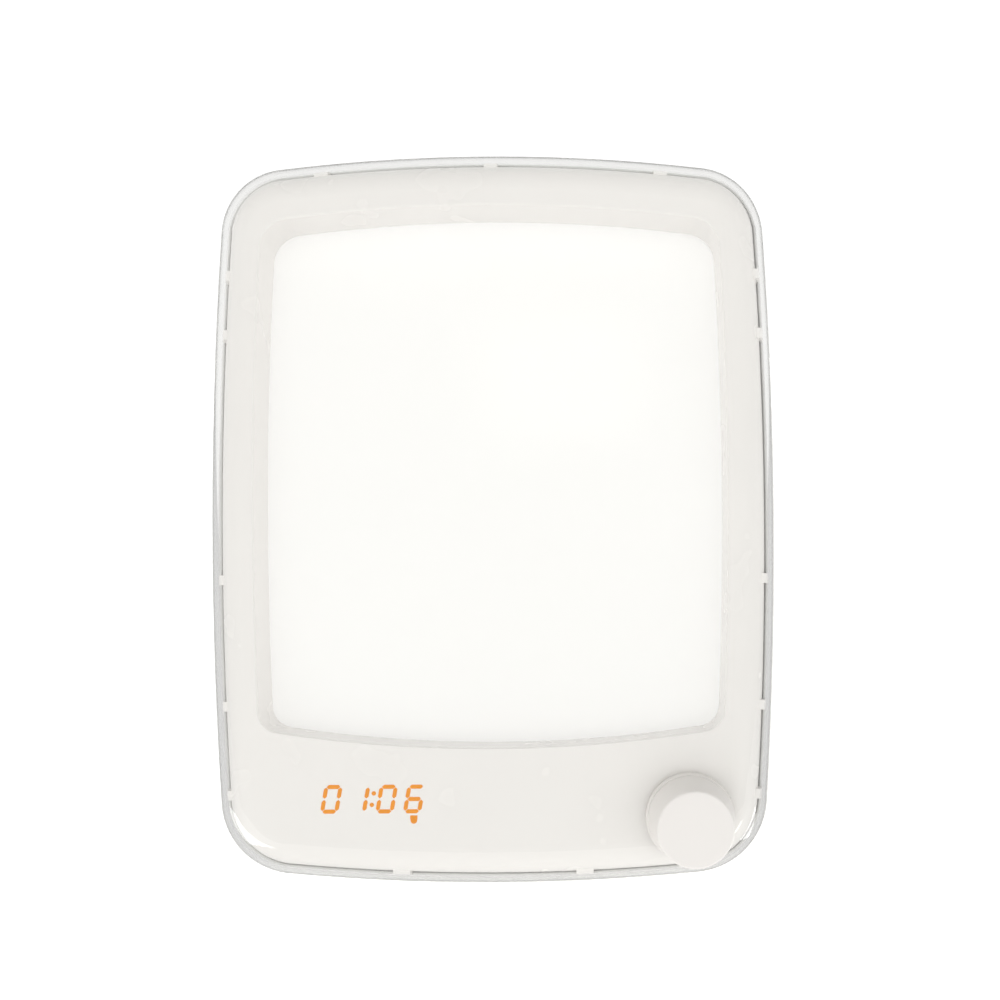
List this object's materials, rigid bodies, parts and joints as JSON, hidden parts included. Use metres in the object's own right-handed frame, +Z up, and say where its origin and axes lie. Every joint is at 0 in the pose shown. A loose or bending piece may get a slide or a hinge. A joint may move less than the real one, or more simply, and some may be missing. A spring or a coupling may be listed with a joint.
{
  "type": "light therapy lamp",
  "caption": "Desk light therapy lamp: clear rounded front cover over a white bezel, recessed glowing screen, amber clock, press-and-turn knob, fold-out rear stand.",
  "frame": {"origin": "centre of the front foot's underside, on the desk", "axes": "+Z up from the desk, -Y the side the screen faces, +X to the viewer's right; the lamp leans back 18 degrees with its stand open"},
  "size_m": [0.2128, 0.1377, 0.2671],
  "materials": {
    "clear_plastic": "polished clear polycarbonate",
    "bezel_white": "warm off-white, fine satin",
    "seal_grey": "soft grey rubber",
    "opal_lit": "opal acrylic, lit from behind",
    "film_white": "frosted film",
    "guide_clear": "clear acrylic",
    "tray_metal": "brushed sheet",
    "strip_white": "white solder mask",
    "led_lit": "yellow phosphor, lit",
    "board_green": "green solder mask",
    "part_black": "matt black",
    "segment_amber": "amber, lit",
    "coil_grey": "ferrite",
    "can_metal": "sleeved can",
    "plug_white": "natural nylon",
    "lead_white": "white insulation",
    "lead_red": "red insulation",
    "bright_metal": "plated",
    "shaft_metal": "turned",
    "knob_white": "warm off-white, soft satin",
    "housing_white": "fine spark texture",
    "screw_zinc": "zinc plated",
    "pad_grey": "soft grey rubber"
  },
  "bodies": {
    "lamp": {"clear_cover": "clear_plastic", "front_bezel": "bezel_white", "cover_seal": "seal_grey", "screen_diffuser": "opal_lit", "diffuser_film": "film_white", "light_guide": "guide_clear", "reflector_sheet": "film_white", "back_tray": "tray_metal", "led_strips": "strip_white", "led_chips": "led_lit", "control_board": "board_green", "display_module": "part_black", "display_segments": "segment_amber", "driver_coil": "coil_grey", "driver_capacitors": "can_metal", "controller_chip": "part_black", "board_connectors": "plug_white", "tray_connector": "plug_white", "led_lead": "lead_white", "jack_lead": "lead_red", "encoder_body": "part_black", "encoder_bushing": "bright_metal", "encoder_nut": "bright_metal", "knob_collar": "knob_white", "rear_housing": "housing_white", "housing_screws": "screw_zinc", "tray_screws": "screw_zinc", "board_screws": "screw_zinc", "dc_jack_housing": "part_black", "dc_jack_pin": "bright_metal", "dc_jack_nut": "bright_metal", "stand_pin": "shaft_metal", "stand_washers": "part_black", "front_foot": "pad_grey"},
    "press": {"switch_plunger": "part_black"},
    "knob": {"knob_cap": "knob_white", "encoder_shaft": "shaft_metal"},
    "stand": {"stand_leg": "housing_white", "stand_pad": "pad_grey"}
  },
  "joints": [
    {"name": "stand_fold", "type": "hinge", "parent": "lamp", "child": "stand", "pos_m": [0, 0.06551, 0.16582], "axis": [1, 0, 0], "range_deg": [-27.6, 0]},
    {"name": "knob_press", "type": "slide", "parent": "lamp", "child": "press", "axis": [0, 0.9511, -0.309], "range_m": [0, 0.0006], "stiffness_N_per_m": 4000, "springref_m": -0.0005},
    {"name": "knob_turn", "type": "hinge", "parent": "press", "child": "knob", "pos_m": [0.0724, -0.01985, 0.03646], "axis": [0, 0.9511, -0.309], "continuous": true}
  ]
}
